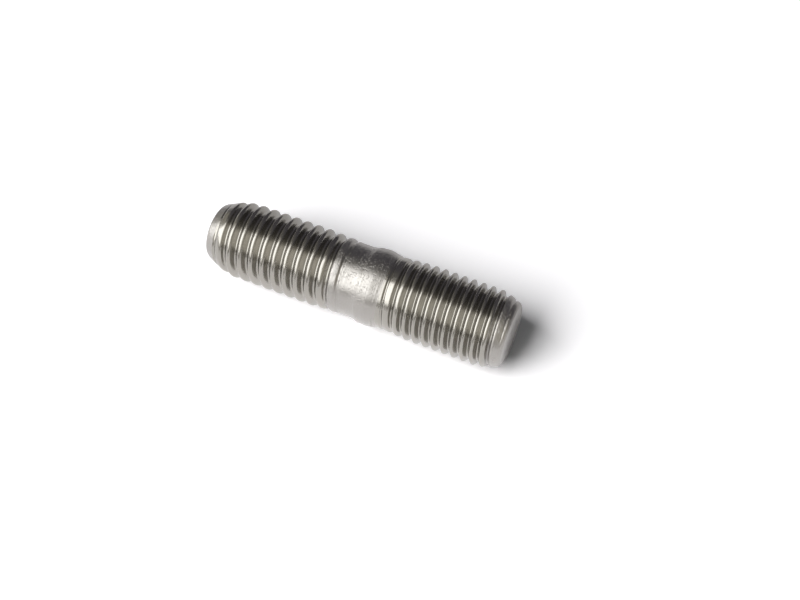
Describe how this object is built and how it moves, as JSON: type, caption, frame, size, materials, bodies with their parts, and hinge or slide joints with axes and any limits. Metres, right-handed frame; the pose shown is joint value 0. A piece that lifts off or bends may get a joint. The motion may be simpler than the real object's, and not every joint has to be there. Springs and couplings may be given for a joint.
{
  "type": "stud bolt",
  "caption": "Double-ended stud bolt with a coarse thread on the tap end, a fine thread on the nut end and a low collar on the plain shank between them.",
  "frame": {"origin": "centre of the tap end's face, the lowest point of the stud as it stands on that end", "axes": "+Z along the stud's axis from the coarse tap end to the fine nut end; +X and +Y are square to it, and the tap thread's groove meets its end face at +X"},
  "size_m": [0.008, 0.008, 0.032],
  "materials": {
    "steel": "bright rolled threads and a finely turned shank and ends"
  },
  "bodies": {
    "root": {"stud_bolt": "steel"}
  },
  "joints": []
}
